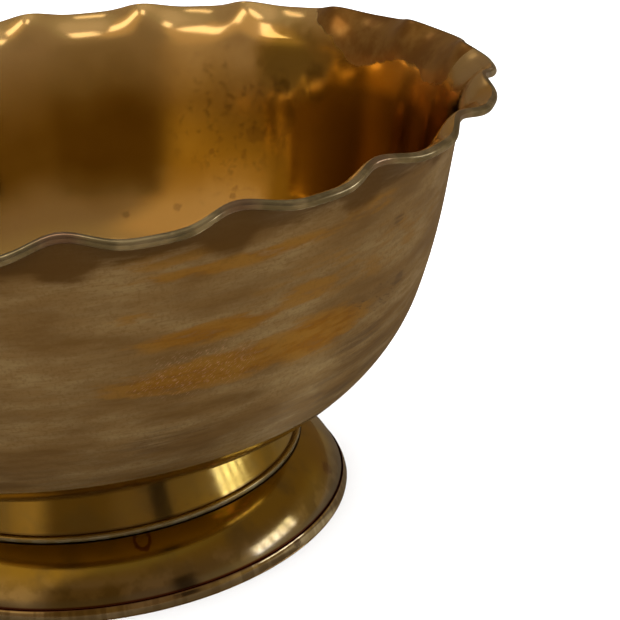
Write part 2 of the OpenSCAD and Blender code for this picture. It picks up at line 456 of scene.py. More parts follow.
def make_solder(name, node, corner, across, up, material):
    """A fillet with a hollow face, drawn back towards its corner here and there."""
    section = []
    for t in np.linspace(0, 1, FILLET_STEPS + 1):
        hollow = FILLET_HOLLOW * t * (1 - t)
        section.append((corner[0] + across * (1 - t - hollow), corner[1] + up * (t - hollow)))
    if across * up < 0:
        section.reverse()
    piece = spun(name, [corner] + section)
    for vertex in piece.data.vertices:
        x, y, z = vertex.co / MM
        radius = hypot(x, y)
        wave = noise.noise(Vector((x, y, 0)) / FILLET_WAVE)
        keep = FILLET_REACH + FILLET_UNEVEN * wave
        pulled = (corner[0] + (radius - corner[0]) * keep) / radius
        vertex.co = Vector((x * pulled, y * pulled, corner[1] + (z - corner[1]) * keep)) * MM
    place(piece, node, "solder", material)


def make_boss(material):
    low = node_height("bottom_boss")[0]
    bore_top = FLOOR_Z - BORE_TOP_GAP
    groove_r = BOSS_R * BOSS_GROOVE_AT
    section = softened([
        (AXIS_R, bore_top, AXIS_R / 2),
        (BORE_R, bore_top, BORE_EDGE),
        (BORE_R, low, BORE_EDGE),
        (groove_r - BOSS_GROOVE_HALF, low, TURNED_EDGE),
        (groove_r, low + BOSS_GROOVE_DEPTH, TURNED_EDGE),
        (groove_r + BOSS_GROOVE_HALF, low, TURNED_EDGE),
        (BOSS_R, low, BOSS_EDGE),
        (BOSS_R, FLOOR_Z, TURNED_EDGE),
        (AXIS_R, FLOOR_Z, AXIS_R / 2),
    ])
    place(spun("boss", section), "bottom_boss", "hidden_brass", material)


def make_washer(material):
    low, high = node_height("clamp_washer")
    section = softened([
        (WASHER_HOLE_R, low, WASHER_HOLE_EDGE),
        (WASHER_R, low, WASHER_EDGE),
        (WASHER_R, high, WASHER_EDGE),
        (WASHER_HOLE_R, high, WASHER_HOLE_EDGE),
    ], WASHER_CORNER_STEPS)
    place(spun("washer", section), "clamp_washer", "hidden_brass", material)


def make_stud(material):
    """The stud with its thread cut as one helix."""
    low, high = node_height("foot_stud")
    rows = int((high - low) * STUD_ROWS_PER_MM)
    height = np.linspace(low, high, rows)[None]
    lead = np.arange(STUD_STEPS)[:, None] / STUD_STEPS
    ridge = np.abs((height / THREAD_PITCH - lead) % 1 * 2 - 1)
    from_end = np.minimum(height - low, high - height)
    radius = np.minimum(STUD_R - THREAD_DEPTH * ridge, STUD_R - STUD_END + from_end)
    radius = np.pad(radius, ((0, 0), (1, 1)))
    height = np.pad(height, ((0, 0), (1, 1)), mode="edge")
    piece = turned("stud", turned_grid(radius, height, STUD_STEPS), closed=False)
    place(piece, "foot_stud", "hidden_brass", material)


def make_nut(material):
    """A hexagon nut with its corners turned off at both ends."""
    low, high = node_height("hex_nut")
    angle = np.arange(NUT_STEPS)[:, None] * 360 / NUT_STEPS
    flats = NUT_FLATS / 2 / np.cos(np.radians(angle % 60 - 30))
    from_end = np.array(NUT_ROWS)
    cone = NUT_FLATS / 2 * NUT_CONE_START + from_end * NUT_CONE_SLOPE
    side = np.minimum(flats, cone[None])
    bore = np.full((NUT_STEPS, 1), BORE_R)
    radius = np.hstack([bore, side, side[:, ::-1], bore])
    height = np.concatenate([[low], low + from_end, high - from_end[::-1], [high]])
    grid = turned_grid(radius, height[None], NUT_STEPS)
    piece = turned("nut", grid, sharp_angle=NUT_SHARP_ANGLE)
    place(piece, "hex_nut", "hidden_brass", material)


# ---- Materials ----

# Where Blender's colour mixing node keeps its two colours and its result
MIX_COLOURS = (6, 7)
MIX_RESULT = 2
NOISE_ROUGH = 0.55
# A mark is this deep, in millimetres, so that it reaches the curved wall on both sides
MARK_DEPTH = 60
# How far a stain's edge strays, in millimetres
EDGE_WANDER = 0.4


class Nodes:
    """Writes a material's nodes as nested calls: each method adds a node and returns its output.

    Noise stays round 0.5. A step over it picks out marks: the closer its two limits, the harder the
    marks' edges are, and the higher the limits, the fewer marks there are.
    """

    def __init__(self, name):
        self.material = bpy.data.materials.new(name)
        self.material.use_nodes = True
        self.tree = self.material.node_tree
        self.shader = self.tree.nodes["Principled BSDF"]
        self.position = self.add("TexCoord").outputs["Object"]
        self.x, self.y, self.z = self.add("SeparateXYZ", {0: self.position}).outputs
        flat = self.add("CombineXYZ", {0: self.x, 1: self.y}).outputs[0]
        self.radius = self.add("VectorMath", {0: flat}, operation="LENGTH").outputs[1]
        self.around = self.vector("NORMALIZE", flat)

    def add(self, kind, inputs=None, **settings):
        """A new node, with its settings made first because they decide which sockets it has."""
        node = self.tree.nodes.new("ShaderNode" + kind)
        for name, value in settings.items():
            setattr(node, name, value)
        for socket, value in (inputs or {}).items():
            self.put(node.inputs[socket], value)
        return node

    def put(self, socket, value):
        if isinstance(value, bpy.types.NodeSocket):
            self.tree.links.new(value, socket)
        else:
            socket.default_value = value

    def math(self, operation, a, b=0.0):
        return self.add("Math", {0: a, 1: b}, operation=operation).outputs[0]

    def vector(self, operation, a, b=(0, 0, 0)):
        return self.add("VectorMath", {0: a, 1: b}, operation=operation).outputs[0]

    def times(self, a, b):
        return self.math("MULTIPLY", a, b)

    def without(self, share, other):
        """What is left of share where other is 0, and 0 where other is 1."""
        return self.times(share, self.math("SUBTRACT", 1.0, other))

    def step(self, value, low, high, to_low=0.0, to_high=1.0):
        """Goes smoothly from to_low to to_high while value goes from low to high."""
        inputs = {0: value, 1: low, 2: high, 3: to_low, 4: to_high}
        node = self.add("MapRange", inputs, interpolation_type="SMOOTHSTEP")
        return node.outputs[0]

    def step_mm(self, value, low, high, to_low=0.0, to_high=1.0):
        """The same step, with low and high in millimetres."""
        return self.step(value, low * MM, high * MM, to_low, to_high)

    def blend(self, share, a, b, strength=1.0):
        """Colour a where share is 0 and, at full strength, colour b where it is 1."""
        if strength < 1:
            share = self.times(share, strength)
        node = self.add("Mix", {0: share}, data_type="RGBA")
        for socket, colour in zip(MIX_COLOURS, (a, b)):
            linked = isinstance(colour, bpy.types.NodeSocket)
            self.put(node.inputs[socket], colour if linked else (*colour, 1))
        return node.outputs[MIX_RESULT]

    def mix(self, share, a, b):
        """Value a where share is 0 and value b where it is 1."""
        return self.add("Mix", {0: share, 2: a, 3: b}).outputs[0]

    def noise(self, vector, scale, detail):
        inputs = {"Vector": vector, "Scale": scale, "Detail": detail, "Roughness": NOISE_ROUGH}
        return self.add("TexNoise", inputs).outputs[0]

    def blotches(self, size, seed=0.0, detail=4.0):
        """Noise with blotches of about size millimetres."""
        moved = self.vector("ADD", self.position, (seed, seed, seed))
        return self.noise(moved, 1 / (size * MM), detail)

    def streaks(self, turns, height, seed=0.0, detail=5.0, falling=False):
        """Noise drawn out round the axis: turns sets how often it changes in one turn, and height
        is the streaks' size across in millimetres. falling is for a face that drops outward."""
        along = self.math("SUBTRACT" if falling else "ADD", self.radius, self.z)
        across = self.times(along, 1 / (height * MM))
        lift = self.add("CombineXYZ", {2: self.math("ADD", across, seed)}).outputs[0]
        inputs = {0: self.around, 3: turns / 2}
        spread = self.add("VectorMath", inputs, operation="SCALE").outputs[0]
        return self.noise(self.vector("ADD", spread, lift), 1.0, detail)

    def seen_from(self, angle, height, radius, size, tilt=0):
        """The position seen from a point on the bowl, in steps of size (width, tall) millimetres."""
        a = radians(angle)
        inputs = {
            "Vector": self.position,
            "Location": (radius * MM * cos(a), radius * MM * sin(a), height * MM),
            "Rotation": (radians(tilt), 0, a),
            "Scale": (MARK_DEPTH * MM, size[0] * MM, size[1] * MM),
        }
        return self.add("Mapping", inputs, vector_type="TEXTURE").outputs[0]

    def spot(self, angle, height, width, tall, radius, edge=0.25, ragged=0.25):
        """1 inside an oval mark and 0 outside, in millimetres, with a soft and uneven edge."""
        near = self.seen_from(angle, height, radius, (width, tall))
        reach = self.add("VectorMath", {0: near}, operation="LENGTH").outputs[1]
        if ragged:
            rough = self.step(self.blotches(width * 0.5, angle, 1.0), 0.2, 0.8, -ragged, ragged)
            reach = self.math("ADD", reach, rough)
        return self.step(reach, 1 + edge, 1 - edge)

    def spots(self, places, radius):
        """1 inside any of the oval marks and 0 outside."""
        inside = 0.0
        for where in places:
            inside = self.math("MAXIMUM", inside, self.spot(*where, radius))
        return inside

    def strokes(self, angle, height, radius, length, thick, tilt):
        """Short thin lines, 1 on a line and 0 beside it, leaning by tilt degrees."""
        near = self.seen_from(angle, height, radius, (length, thick), tilt)
        return self.step(self.noise(near, 1.0, 3.0), 0.56, 0.66)

    def edge(self, points):
        """Height of a wavy edge round the bowl, from (angle, height) pairs in rising angle."""
        angle = self.math("ARCTAN2", self.y, self.x)
        height = points[0][1] * MM
        for (a, low), (b, high) in zip(points, points[1:]):
            rise = self.step(angle, radians(a), radians(b), 0.0, (high - low) * MM)
            height = self.math("ADD", height, rise)
        return height

    def above(self, height, soft):
        """1 above a height and 0 below it, going over within soft millimetres."""
        stray = EDGE_WANDER * MM
        wander = self.step(self.blotches(4, seed=11.0, detail=2.0), 0.3, 0.7, -stray, stray)
        over = self.math("ADD", self.math("SUBTRACT", self.z, height), wander)
        return self.step_mm(over, -soft, soft)

    def crimp(self):
        """How deep a point lies in a crimp of the rim, as mark_crimps stored it."""
        return self.add("Attribute", attribute_name=CRIMP).outputs["Fac"]

    def bump(self, height, strength, depth):
        """Bumps of depth millimetres, on top of those asked for before."""
        inputs = {"Height": height, "Strength": strength, "Distance": depth * MM}
        node = self.add("Bump", inputs)
        normal = self.shader.inputs["Normal"]
        if normal.is_linked:
            self.put(node.inputs["Normal"], normal.links[0].from_socket)
        self.put(normal, node.outputs[0])

    def finish(self, colour, roughness, metallic=1.0):
        self.put(self.shader.inputs["Base Color"], colour)
        self.put(self.shader.inputs["Roughness"], roughness)
        self.put(self.shader.inputs["Metallic"], metallic)
        return self.material


# Dirt and dark seams
UMBER = (0.19, 0.12, 0.065)
DARK_SEAM = (0.05, 0.025, 0.012)
DARK_RED = (0.17, 0.045, 0.018)

# ---- Outside of the bowl ----

HAZE = (0.46, 0.30, 0.12)
HAZE_LIGHT = (0.57, 0.43, 0.22)
HAZE_DARK = (0.31, 0.19, 0.07)
ORANGE = (0.46, 0.205, 0.02)
AMBER = (0.56, 0.30, 0.05)
# Dirt and painted shade under the lip
UNDER_LIP = (0.17, 0.09, 0.025)
OLIVE_GOLD = (0.42, 0.27, 0.04)
PINK_SCRATCH = (0.98, 0.66, 0.42)
# A film of tarnish scatters a little daylight, so its metallic value is just under 1
HAZE_METALLIC = 0.945
HAZE_ROUGH = (0.34, 0.48)
POLISHED_ROUGH = 0.14

# The place of a mark is its angle, height, half width and half height, in degrees and millimetres
# Marks on the outside: place and strength
ORANGE_MARKS = (
    (-72, 83, 34, 5.6, 0.9),
    (-58, 83, 20, 6.5, 1.0),
    (-74, 94.5, 23, 3.2, 0.9),
    (-60, 97, 12, 4.0, 0.7),
    (-50, 100, 40, 8.0, 0.45),
    (-70, 112, 33, 2.2, 0.8),
    (-84, 102.5, 8, 2.0, 0.6),
    (-50, 114, 14, 3.0, 0.6),
    (-79, 117, 16, 3.0, 0.6),
    (20, 84, 60, 7.0, 0.9),
    (110, 96, 70, 6.0, 0.8),
    (170, 78, 50, 5.0, 0.9),
    (-130, 90, 40, 5.0, 0.8),
)
DARK_MARKS = (
    (-80, 63.5, 17, 5.0, 0.55),
    (-47, 74, 14, 3.6, 0.6),
    (-45, 62, 38, 12.0, 0.45),
    (-43, 84.5, 10, 4.0, 0.4),
    (-40, 86, 3.5, 2.2, 0.7),
    (-43, 105.5, 3, 2.2, 0.6),
    (60, 66, 40, 8.0, 0.5),
    (150, 62, 50, 9.0, 0.5),
)
BOWL_MEAN_R = 108
# Patches of fine lines: place, and the lines' length, thickness and tilt
SCRATCHES = (-76, 83.5, 15, 6.5, 1.7, 0.24, 35)
SWIRLS = (-45, 84.5, 12, 4.5, 3.5, 0.7, -20)
# The dirt and painted shade under the lip start at these heights, and lower by the crimp amount below
# where the rim is crimped
UNDER_LIP_EDGE = (116, 120.5)
CRIMP_DIRT_AND_SHADE = 3.5
LIP_DIRT_AND_SHADE_WANDER = 1.2
# The outside is polished bright below these heights
POLISHED_EDGE = (49.1, 48.5)


def sum_of_marks(nodes, marks, breakup):
    """How strongly marks cover the bowl. breakup is the streaky noise that frays their edges."""
    total = 0.0
    for *where, strength in marks:
        mark = nodes.spot(*where, BOWL_MEAN_R, edge=0.55, ragged=0)
        total = nodes.math("MAXIMUM", total, nodes.times(mark, strength))
    frayed = nodes.math("ADD", total, nodes.step(breakup, 0.2, 0.8, -0.45, 0.45))
    most = nodes.math("MINIMUM", total, 1.0)
    return nodes.times(nodes.step(frayed, 0.30, 0.85), most)


def lined_patch(nodes, angle, height, width, tall, length, thick, tilt):
    """A patch of short thin lines on the outside: 1 on a line and 0 beside it."""
    patch = nodes.spot(angle, height, width, tall, BOWL_MEAN_R, edge=0.5)
    lines = nodes.strokes(angle, height, BOWL_MEAN_R, length, thick, tilt)
    return nodes.times(patch, lines)


def outside_haze(nodes, fine, grain):
    """Grey-tan haze: broad clouds drawn out round the bowl, with fine and hair-thin streaks."""
    broad = nodes.streaks(turns=6, height=12, seed=3.1)
    hair = nodes.streaks(turns=50, height=0.6, seed=1.3, detail=3)
    haze = nodes.blend(nodes.step(broad, 0.35, 0.65), HAZE_DARK, HAZE_LIGHT)
    haze = nodes.blend(nodes.step(fine, 0.36, 0.64, 0.0, 0.6), haze, HAZE)
    haze = nodes.blend(nodes.step(hair, 0.50, 0.70, 0.0, 0.35), haze, HAZE_DARK)
    return nodes.blend(nodes.step(grain, 0.48, 0.66, 0.0, 0.35), haze, HAZE_DARK)


def outside_marks(nodes, haze, fine, grain):
    """The haze with its orange and dark marks, a patch of scratches and a patch of swirls."""
    warm = nodes.blend(nodes.step(fine, 0.38, 0.60), ORANGE, AMBER)
    warm = nodes.blend(nodes.step(grain, 0.50, 0.70, 0.0, 0.15), warm, UMBER)
    colour = nodes.blend(sum_of_marks(nodes, ORANGE_MARKS, fine), haze, warm)
    breakup = nodes.streaks(turns=12, height=1.6, seed=17.0)
    colour = nodes.blend(sum_of_marks(nodes, DARK_MARKS, breakup), colour, UMBER)
    colour = nodes.blend(lined_patch(nodes, *SCRATCHES), colour, PINK_SCRATCH, strength=0.55)
    return nodes.blend(lined_patch(nodes, *SWIRLS), colour, UMBER, strength=0.6)


def dirt_and_shade_under_lip(nodes, fine):
    """Dirt and painted shade under the overhanging lip: 0 on the wall and nearly 1 under the lip,
    with an uneven edge that dips at each crimp.
    """
    lowered = nodes.times(nodes.crimp(), CRIMP_DIRT_AND_SHADE * MM)
    reach = nodes.math("ADD", nodes.z, lowered)
    stray = LIP_DIRT_AND_SHADE_WANDER * MM
    reach = nodes.math("ADD", reach, nodes.step(fine, 0.3, 0.7, -stray, stray))
    return nodes.step_mm(reach, *UNDER_LIP_EDGE, 0.0, 0.85)


def tarnished_brass():
    """Outside of the bowl: haze with orange-brown streaks, and bright next to the foot."""
    nodes = Nodes("tarnished_brass")
    fine = nodes.streaks(turns=20, height=3.0, seed=7.7, detail=7)
    grain = nodes.blotches(0.9, seed=31.0, detail=3.0)
    colour = outside_marks(nodes, outside_haze(nodes, fine, grain), fine, grain)
    # Dirt under the lip, with painted shade where the lip overhangs
    colour = nodes.blend(dirt_and_shade_under_lip(nodes, fine), colour, UNDER_LIP)
    polished = nodes.step_mm(nodes.z, *POLISHED_EDGE)
    colour = nodes.blend(polished, colour, OLIVE_GOLD)
    rough = nodes.step(fine, 0.3, 0.7, *HAZE_ROUGH)
    rough = nodes.mix(polished, rough, POLISHED_ROUGH)
    nodes.bump(polished, strength=0.4, depth=0.15)
    nodes.bump(fine, strength=0.25, depth=0.15)
    nodes.bump(grain, strength=0.30, depth=0.05)
    return nodes.finish(colour, rough, nodes.mix(polished, HAZE_METALLIC, 1.0))


# ---- Inside of the bowl ----

POLISHED = (0.62, 0.35, 0.04)
POLISHED_DEEP = (0.55, 0.30, 0.03)
SHADED = (0.40, 0.215, 0.02)
SHADED_DEEP = (0.14, 0.075, 0.008)
OLIVE = (0.54, 0.37, 0.09)
LIP_HAZE = (0.76, 0.49, 0.18)
STAIN = (0.27, 0.12, 0.022)
STAIN_LIGHT = (0.38, 0.195, 0.045)
INSIDE_ROUGH = (0.06, 0.10)
LIP_HAZE_ROUGH = 0.17
HAZY_PATCH_ROUGH = 0.26
STAIN_ROUGH = 0.28
INSIDE_HAZE_METALLIC = 0.91

# Painted shade on one part of the wall, for the dark reflection there: its middle angle, how far from
# there it is full and how far it reaches, and the heights between which it fades at the top and at
# the bottom
SHADE_MIDDLE = 4
SHADE_FULL = 41
SHADE_END = 46
SHADE_TOP = (110, 104)
SHADE_FOOT = (46, 66)
# Spots of painted shade at the edge of that part: place and strength
SHADE_SPOTS = (
    (46, 94, 5.5, 11, 0.8),
    (38.5, 104.5, 5, 6, 0.6),
    (31, 111, 7, 4.5, 0.6),
    (13, 109, 9, 7, 0.6),
    (3, 113, 12, 6, 0.6),
)
SHADE_SPOT_R = 110
# The tan haze under the lip lies round this edge, and fades in over these distances from it
LIP_HAZE_EDGE = (
    (-180, 100), (-120, 116), (-30, 126), (30, 122), (56, 100), (72, 106), (100, 102), (180, 100),
)
LIP_HAZE_FADE = (-16, 18)
# The same haze covers the floor of the bowl below these heights
FLOOR_HAZE_EDGE = (80, 60)
HAZE_WANDER = 3
# An olive patch and a worn, pitted patch: place and radius
OLIVE_PATCH = (44, 110, 14, 11, 115)
WORN_PATCH = (56, 90, 20, 22, 110)
# The places of hazy tan patches left of the stain, and of small freckles
HAZY_PATCHES = ((-4, 126, 9, 5.5), (-15, 125, 11, 6))
HAZY_PATCH_R = 122
FRECKLES = ((67, 61.4, 1.6, 1.2), (55, 65.5, 1.2, 1.0), (78, 59.7, 1.3, 1.0), (51, 86, 4, 2.5))
FRECKLE_R = 104
# Lower edge of the brown stain, as angle and height, and how soft it is
STAIN_EDGE = (
    (-1.5, 134), (0, 119), (2, 117), (5, 116), (9, 115), (13, 118), (18, 118.3), (23.5, 115.8),
    (27, 113.3), (30.5, 113), (34, 117.5), (36, 121), (39, 124), (41.5, 127), (43, 134),
)
STAIN_SOFT = 0.35


def painted_wall_shade(nodes):
    """Where the wall's painted shade lies, and its colour, darkest in the middle."""
    angle = nodes.math("ARCTAN2", nodes.y, nodes.x)
    aside = nodes.math("SUBTRACT", angle, radians(SHADE_MIDDLE))
    aside = nodes.math("ABSOLUTE", aside)
    full, end = radians(SHADE_FULL), radians(SHADE_END)
    below_lip = nodes.step_mm(nodes.z, *SHADE_TOP)
    on_wall = nodes.times(below_lip, nodes.step_mm(nodes.z, *SHADE_FOOT))
    shaded = nodes.times(nodes.step(aside, end, full), on_wall)
    return shaded, nodes.blend(nodes.step(aside, full, 0.0), SHADED, SHADED_DEEP)


# Darkens the colour with spots of painted shade
def with_shade_spots(nodes, colour):
    for *where, strength in SHADE_SPOTS:
        shade_spot = nodes.spot(*where, SHADE_SPOT_R, edge=0.4, ragged=0.15)
        colour = nodes.blend(shade_spot, colour, SHADED_DEEP, strength)
    return colour


def inside_haze(nodes, clear, shaded):
    """The haze under the lip, outside the clear patch, and that haze together with the floor's."""
    stray = HAZE_WANDER * MM
    drift = nodes.step(nodes.blotches(24, seed=14.0, detail=2.0), 0.3, 0.7, -stray, stray)
    drifted = nodes.math("ADD", nodes.z, drift)
    over = nodes.math("SUBTRACT", drifted, nodes.edge(LIP_HAZE_EDGE))
    lip = nodes.without(nodes.step_mm(over, *LIP_HAZE_FADE), clear)
    floor = nodes.without(nodes.step_mm(drifted, *FLOOR_HAZE_EDGE), shaded)
    return lip, nodes.math("MAXIMUM", lip, nodes.times(floor, 0.8))


def stained(nodes, colour, stain):
    """Adds the rim's mottled stain, the pits of the worn patch and the freckles."""
    mottle = nodes.step(nodes.blotches(9, seed=21.0), 0.36, 0.64)
    colour = nodes.blend(stain, colour, nodes.blend(mottle, STAIN, STAIN_LIGHT))
    worn = nodes.spot(*WORN_PATCH, edge=0.6, ragged=0.2)
    pits = nodes.step(nodes.blotches(3.2, seed=41.0), 0.52, 0.68, 0.0, 0.45)
    colour = nodes.blend(nodes.times(worn, pits), colour, STAIN)
    freckles = nodes.spots(FRECKLES, FRECKLE_R)
    return nodes.blend(freckles, colour, STAIN, strength=0.35)


def polished_inside():
    """Inside of the bowl: mirror-bright amber, hazy in places, with a brown stain along the rim."""
    nodes = Nodes("polished_inside")
    cloud = nodes.blotches(30, seed=2.0)
    colour = nodes.blend(nodes.step(cloud, 0.35, 0.65), POLISHED, POLISHED_DEEP)
    # Part of the wall takes painted shade, for the dark reflection there
    shaded, shade = painted_wall_shade(nodes)
    colour = nodes.blend(shaded, colour, shade)
    clear = nodes.spot(*OLIVE_PATCH, edge=0.45, ragged=0.15)
    # The olive patch, then the spots of painted shade
    colour = with_shade_spots(nodes, nodes.blend(clear, colour, OLIVE))
    hazed_lip, hazed = inside_haze(nodes, clear, shaded)
    colour = nodes.blend(hazed, colour, LIP_HAZE)
    patches = nodes.spots(HAZY_PATCHES, HAZY_PATCH_R)
    colour = nodes.blend(patches, colour, HAZE, strength=0.8)
    stain = nodes.above(nodes.edge(STAIN_EDGE), STAIN_SOFT)
    colour = stained(nodes, colour, stain)
    streaks = nodes.streaks(turns=8, height=8, seed=5.0)
    rough = nodes.step(streaks, 0.3, 0.7, *INSIDE_ROUGH)
    rough = nodes.mix(hazed_lip, rough, LIP_HAZE_ROUGH)
    rough = nodes.mix(patches, rough, HAZY_PATCH_ROUGH)
    rough = nodes.mix(stain, rough, STAIN_ROUGH)
    scatter = nodes.math("MAXIMUM", nodes.math("MAXIMUM", patches, stain), hazed)
    nodes.bump(nodes.blotches(22, seed=9.0, detail=1.0), strength=0.15, depth=0.4)
    return nodes.finish(colour, rough, nodes.mix(scatter, 1.0, INSIDE_HAZE_METALLIC))


# ---- Rolled edge and foot: heights and radii in millimetres ----

EDGE_PALE = (0.46, 0.37, 0.20)
EDGE_OLIVE = (0.25, 0.20, 0.10)
EDGE_BROWN = (0.24, 0.13, 0.08)
EDGE_ROUGH = (0.13, 0.26)
EDGE_METALLIC = 0.94

BEAD_GREY = (0.44, 0.40, 0.27)
BEAD_BROWN = (0.36, 0.28, 0.13)
BEAD_ROUGH = 0.30
BEAD_METALLIC = 0.95
COLLAR_GOLD = (0.55, 0.38, 0.085)
COLLAR_AGED = (0.45, 0.32, 0.10)
COLLAR_METALLIC = 0.99
# Heights at which the bead ends, of the crease above it, and of the dirt in the seams
BEAD_EDGE = (19.7, 18.9)
CREASE_Z = 20
CREASE_HALF = (0.3, 0.1)
LOWER_SEAM = (17.85, 17.65)
UPPER_SEAM = (30.8, 31.2)

FLARE_GOLD = (0.56, 0.38, 0.06)
FLARE_AGED = (0.38, 0.27, 0.08)
FLARE_GREY = (0.58, 0.45, 0.24)
FLARE_GREY_DARK = (0.40, 0.30, 0.14)
FLARE_EDGE = (0.42, 0.37, 0.27)
FLARE_DULL_ROUGH = 0.14
WATER_MARK = (0.24, 0.10, 0.03)
COPPER_SCRATCH = (0.80, 0.42, 0.16)
# Radii between which the flare turns grey and pale, and those of the dirt at its two ends
DULL_EDGE = (69, 74.2)
PALE_EDGE = (73.4, 74.2)
GROOVE_DIRT = (74.4, 74.6)
BEAD_DIRT = (63.1, 62.9)
# Marks on the flare and ring: place and radius
WATER_RING = (-83.5, 16.7, 2.6, 2.2, 64.4)
WATER_RING_HOLE = (-83.5, 16.7, 1.7, 1.3, 64.4)
FLARE_STAIN = (-20.8, 9.6, 2.6, 1.8, 71.6)
FLARE_SCRATCHES = (-57, 16.4, 9, 1.4, 65)
RING_SPOT = (-46.8, 2.4, 1.5, 1.0, 75.8)

RING_GOLD = (0.76, 0.62, 0.38)
RING_AGED = (0.58, 0.45, 0.24)
# Colour of the painted reflection stripes along the ring's ripples
RING_REFLECTION_STRIPE = (0.40, 0.29, 0.14)
RING_DIRT = (75.25, 75.13)

# Roughness of the polished foot between its turning marks, and how much rougher the marks are
FOOT_ROUGH = 0.10
FLARE_ROUGHER = 0.05
FOOT_ROUGHER = 0.06


def edge_brass():
    """The rolled edge: pale olive where hands have rubbed it, brown in the crimps."""
    nodes = Nodes("rolled_edge_brass")
    patches = nodes.blotches(9, seed=4.0)
    colour = nodes.blend(nodes.step(patches, 0.4, 0.6), EDGE_PALE, EDGE_OLIVE)
    colour = nodes.blend(nodes.step(nodes.crimp(), 0.3, 1.2, 0.0, 0.8), colour, EDGE_BROWN)
    nodes.bump(nodes.blotches(3, seed=1.0), strength=0.25, depth=0.12)
    rough = nodes.step(patches, 0.35, 0.65, *EDGE_ROUGH)
    return nodes.finish(colour, rough, EDGE_METALLIC)


def polished_foot(name, colour, aged, rougher):
    """Polished metal with clouds of age and soft turning marks. Gives nodes, colour, roughness."""
    nodes = Nodes(name)
    clouds = nodes.step(nodes.blotches(16, seed=1.0), 0.4, 0.65)
    marks = nodes.step(nodes.streaks(turns=10, height=6, seed=2.0, falling=True), 0.3, 0.7)
    rough = nodes.math("ADD", nodes.times(marks, rougher), FOOT_ROUGH)
    lines = nodes.streaks(turns=30, height=0.9, seed=6.0, detail=2, falling=True)
    nodes.bump(lines, strength=0.12, depth=0.03)
    return nodes, nodes.blend(clouds, colour, aged), rough


def collar_brass():
    """The neck's deep gold, with pits, and the grey-green bead with dirt along both its sides."""
    nodes, tint, rough = polished_foot("collar_brass", COLLAR_GOLD, COLLAR_AGED, FOOT_ROUGHER)
    pits = nodes.step(nodes.blotches(0.9, seed=5.0, detail=2.0), 0.66, 0.74, 0.0, 0.6)
    tint = nodes.blend(pits, tint, UMBER)
    bead = nodes.step_mm(nodes.z, *BEAD_EDGE)
    grime = nodes.step(nodes.blotches(5, seed=8.0), 0.4, 0.6)
    tint = nodes.blend(bead, tint, nodes.blend(grime, BEAD_GREY, BEAD_BROWN))
    crease = nodes.math("ABSOLUTE", nodes.math("SUBTRACT", nodes.z, CREASE_Z * MM))
    tint = nodes.blend(nodes.step_mm(crease, *CREASE_HALF, 0.0, 0.5), tint, UMBER)
    tint = nodes.blend(nodes.step_mm(nodes.z, *LOWER_SEAM), tint, DARK_SEAM)
    tint = nodes.blend(nodes.step_mm(nodes.z, *UPPER_SEAM), tint, DARK_SEAM)
    metallic = nodes.mix(bead, COLLAR_METALLIC, BEAD_METALLIC)
    return nodes.finish(tint, nodes.mix(bead, rough, BEAD_ROUGH), metallic)


def greyed_flare(nodes, tint, dull):
    """The flare's gold turning a mottled grey towards the groove, with a pale line at its edge."""
    mottled = nodes.step(nodes.blotches(6, seed=12.0), 0.42, 0.62)
    tint = nodes.blend(dull, tint, nodes.blend(mottled, FLARE_GREY_DARK, FLARE_GREY))
    tint = nodes.blend(nodes.step_mm(nodes.radius, *PALE_EDGE, 0.0, 0.7), tint, FLARE_EDGE)
    return nodes.blend(nodes.step_mm(nodes.radius, *GROOVE_DIRT), tint, DARK_RED)


def flare_brass():
    """Worn gold that greys towards the groove, with a ring-shaped water mark and a few stains."""
    nodes, tint, rough = polished_foot("flare_brass", FLARE_GOLD, FLARE_AGED, FLARE_ROUGHER)
    dull = nodes.step_mm(nodes.radius, *DULL_EDGE)
    tint = greyed_flare(nodes, tint, dull)
    ring = nodes.spot(*WATER_RING, edge=0.1, ragged=0.1)
    hole = nodes.spot(*WATER_RING_HOLE, edge=0.1, ragged=0.1)
    stain = nodes.times(nodes.spot(*FLARE_STAIN), 0.5)
    mark = nodes.math("MAXIMUM", nodes.math("SUBTRACT", ring, hole), stain)
    tint = nodes.blend(mark, tint, WATER_MARK)
    lines = nodes.streaks(turns=30, height=0.8, seed=4.0, falling=True)
    scratch = nodes.times(nodes.spot(*FLARE_SCRATCHES), nodes.step(lines, 0.5, 0.6))
    tint = nodes.blend(scratch, tint, COPPER_SCRATCH)
    tint = nodes.blend(nodes.step_mm(nodes.radius, *BEAD_DIRT), tint, DARK_SEAM)
    return nodes.finish(tint, nodes.mix(dull, rough, FLARE_DULL_ROUGH))


def ring_brass():
    """The bright turned band: faint upright ripples with painted reflection stripes along them, a
    dark spot, and dirt in the groove.
    """
    nodes, tint, rough = polished_foot("ring_brass", RING_GOLD, RING_AGED, FOOT_ROUGHER)
    ripples = nodes.streaks(turns=70, height=60, seed=9.0, detail=1.0)
    # Painted reflection stripes, on the same noise as the ripples' bumps
    tint = nodes.blend(nodes.step(ripples, 0.40, 0.60, 0.0, 0.6), tint, RING_REFLECTION_STRIPE)
    dark_spot = nodes.spot(*RING_SPOT, edge=0.2, ragged=0.3)
    tint = nodes.blend(dark_spot, tint, UMBER, strength=0.8)
    tint = nodes.blend(nodes.step_mm(nodes.radius, *RING_DIRT), tint, DARK_RED)
    nodes.bump(ripples, strength=0.3, depth=0.12)
    return nodes.finish(tint, rough)


# ---- Hidden metal ----

# Colour, roughness and the size of the clouds
DRAWN_WIRE = ((0.66, 0.48, 0.22), 0.22, 4)
BOSS_BRASS = ((0.62, 0.47, 0.22), 0.30, 8)
STUD_BRASS = ((0.66, 0.52, 0.28), 0.26, 3)
WASHER_BRASS = ((0.60, 0.47, 0.24), 0.34, 10)
NUT_BRASS = ((0.68, 0.53, 0.27), 0.24, 3)
CLOUD_SHADE = 0.6
CLOUD_ROUGHER = 0.15

SOLDER = (0.58, 0.56, 0.52)
FLUX = (0.30, 0.24, 0.16)
SOLDER_ROUGH = 0.38
FLUX_ROUGH = 0.60


